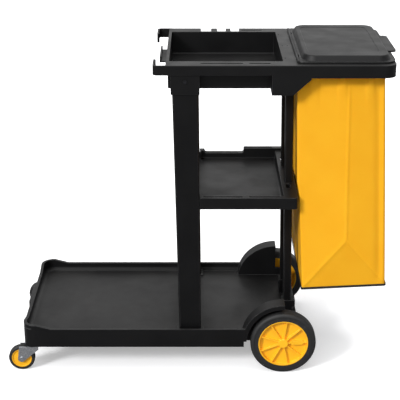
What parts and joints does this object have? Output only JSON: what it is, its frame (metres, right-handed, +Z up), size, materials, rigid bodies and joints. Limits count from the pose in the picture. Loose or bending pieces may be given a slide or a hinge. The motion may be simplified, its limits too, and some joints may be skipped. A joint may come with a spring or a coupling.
{
  "type": "housekeeping cart",
  "caption": "Black moulded housekeeping cart with a deck, a shelf, a top tray, a lidded hanging waste bag, large rear wheels and swivelling front casters.",
  "frame": {"origin": "on the floor, below the centre of the overall box", "axes": "+X towards the bag end, +Y to the cart's right side, +Z up"},
  "size_m": [1.158, 0.504, 0.986],
  "materials": {
    "frame_black": "fine matte grain, moulded polypropylene",
    "lid_black": "fine matte grain, moulded polypropylene",
    "post_black": "matte moulded polypropylene",
    "wheel_yellow": "semi-gloss moulded plastic",
    "tyre_black": "matte rubber",
    "bag_yellow": "satin coated fabric",
    "board_black": "matte sheet",
    "zinc_steel": "bright zinc plate",
    "bush_white": "natural nylon",
    "screw_black": "black zinc"
  },
  "bodies": {
    "cart": {"base_platform": "frame_black", "middle_shelf": "frame_black", "top_tray": "frame_black", "front_upright_left": "frame_black", "front_upright_right": "frame_black", "rear_post_left": "post_black", "rear_post_right": "post_black", "bag": "bag_yellow", "bag_board": "board_black", "bag_eyelets": "zinc_steel", "rear_axle": "zinc_steel", "push_nuts": "zinc_steel", "axle_spacers": "zinc_steel", "hinge_pins": "zinc_steel", "upright_screws": "screw_black", "post_screws": "screw_black", "caster_stem_left": "zinc_steel", "caster_stem_right": "zinc_steel"},
    "lid": {"lid": "lid_black"},
    "rear_wheel_left": {"rear_rim_left": "wheel_yellow", "rear_tyre_left": "tyre_black", "rear_bush_left": "bush_white", "rear_hub_cap_left": "wheel_yellow"},
    "caster_swivel_left": {"caster_fork_left": "zinc_steel", "caster_bolt_left": "zinc_steel", "caster_nut_left": "zinc_steel"},
    "caster_wheel_left": {"caster_rim_left": "wheel_yellow", "caster_tyre_left": "tyre_black", "caster_bush_left": "bush_white"},
    "rear_wheel_right": {"rear_rim_right": "wheel_yellow", "rear_tyre_right": "tyre_black", "rear_bush_right": "bush_white", "rear_hub_cap_right": "wheel_yellow"},
    "caster_swivel_right": {"caster_fork_right": "zinc_steel", "caster_bolt_right": "zinc_steel", "caster_nut_right": "zinc_steel"},
    "caster_wheel_right": {"caster_rim_right": "wheel_yellow", "caster_tyre_right": "tyre_black", "caster_bush_right": "bush_white"}
  },
  "joints": [
    {"name": "lid_hinge", "type": "hinge", "parent": "cart", "child": "lid", "pos_m": [0.288, 0, 0.97], "axis": [0, -1, 0], "range_deg": [0, 105]},
    {"name": "rear_wheel_spin_left", "type": "hinge", "parent": "cart", "child": "rear_wheel_left", "pos_m": [0.265, -0.231, 0.1], "axis": [0, 1, 0], "continuous": true},
    {"name": "caster_turn_left", "type": "hinge", "parent": "cart", "child": "caster_swivel_left", "pos_m": [-0.503, -0.222, 0.08], "axis": [0, 0, 1], "continuous": true},
    {"name": "caster_spin_left", "type": "hinge", "parent": "caster_swivel_left", "child": "caster_wheel_left", "pos_m": [-0.539, -0.222, 0.04], "axis": [0, 1, 0], "continuous": true},
    {"name": "rear_wheel_spin_right", "type": "hinge", "parent": "cart", "child": "rear_wheel_right", "pos_m": [0.265, 0.231, 0.1], "axis": [0, 1, 0], "continuous": true},
    {"name": "caster_turn_right", "type": "hinge", "parent": "cart", "child": "caster_swivel_right", "pos_m": [-0.503, 0.222, 0.08], "axis": [0, 0, 1], "continuous": true},
    {"name": "caster_spin_right", "type": "hinge", "parent": "caster_swivel_right", "child": "caster_wheel_right", "pos_m": [-0.539, 0.222, 0.04], "axis": [0, 1, 0], "continuous": true}
  ]
}
